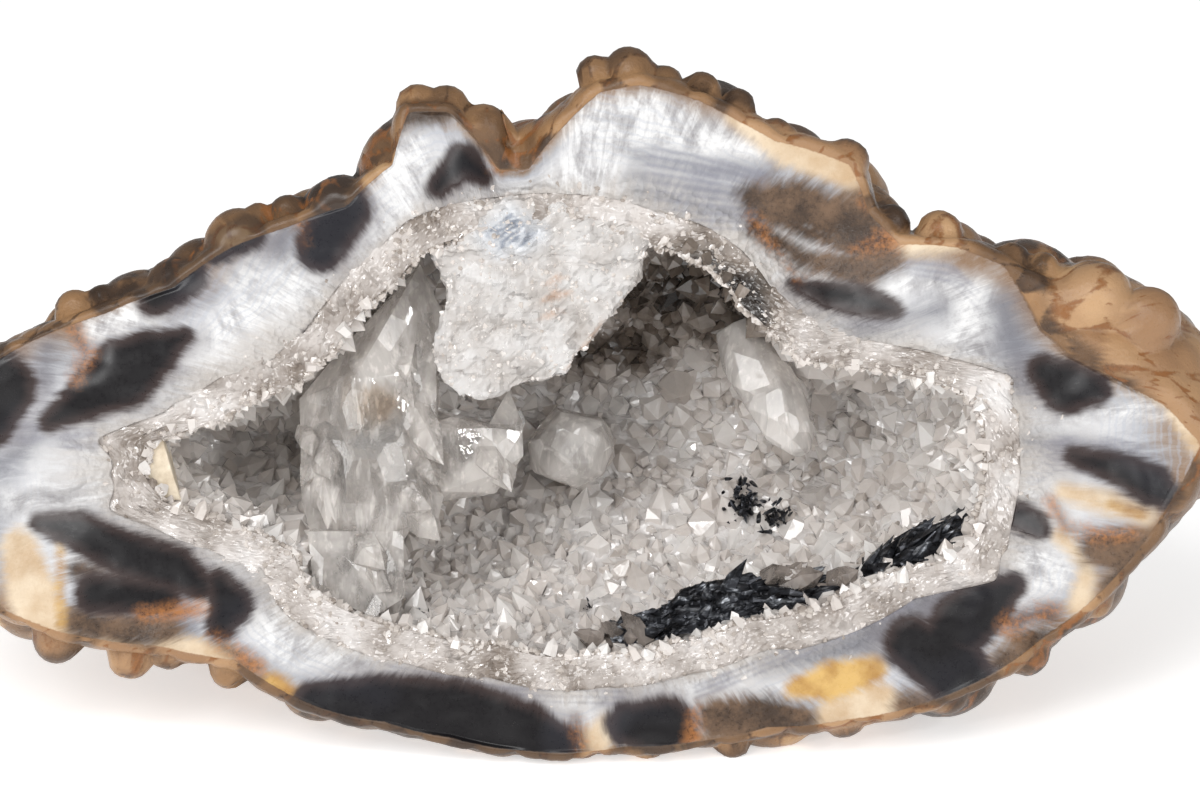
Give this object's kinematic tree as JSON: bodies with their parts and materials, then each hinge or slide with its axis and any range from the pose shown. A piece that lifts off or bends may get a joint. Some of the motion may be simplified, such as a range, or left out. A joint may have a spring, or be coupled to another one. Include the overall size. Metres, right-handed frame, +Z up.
{
  "type": "geode half",
  "caption": "Half of an agate geode with a lumpy brown rind, banded wall and a hollow lined with quartz crystals, standing on its rind and leaning back.",
  "frame": {"origin": "middle of the bounding box, on the ground that it rests on", "axes": "+X along the long side of the broken face, to the right as seen from the front; the broken face looks towards -Y and slightly up; +Z up"},
  "size_m": [0.1124, 0.0498, 0.0566],
  "materials": {
    "agate": "brown and tan lumpy rind, rust in the creases; broken face in dark grey, white and cream bands",
    "quartz": "greyish white crystals with bright faces",
    "frosted_quartz": "frosted and sparkling, translucent",
    "clear_quartz": "clear, with milky veils",
    "milky_quartz": "milky, glassy faces",
    "black_mineral": "black with a metallic shine"
  },
  "bodies": {
    "root": {"agate_shell": "agate", "quartz_crust": "quartz", "hanging_quartz": "frosted_quartz", "clear_crystals": "clear_quartz", "milky_crystal": "milky_quartz", "pale_crystal": "milky_quartz", "black_ridge": "black_mineral", "black_ledge": "black_mineral"}
  },
  "joints": []
}
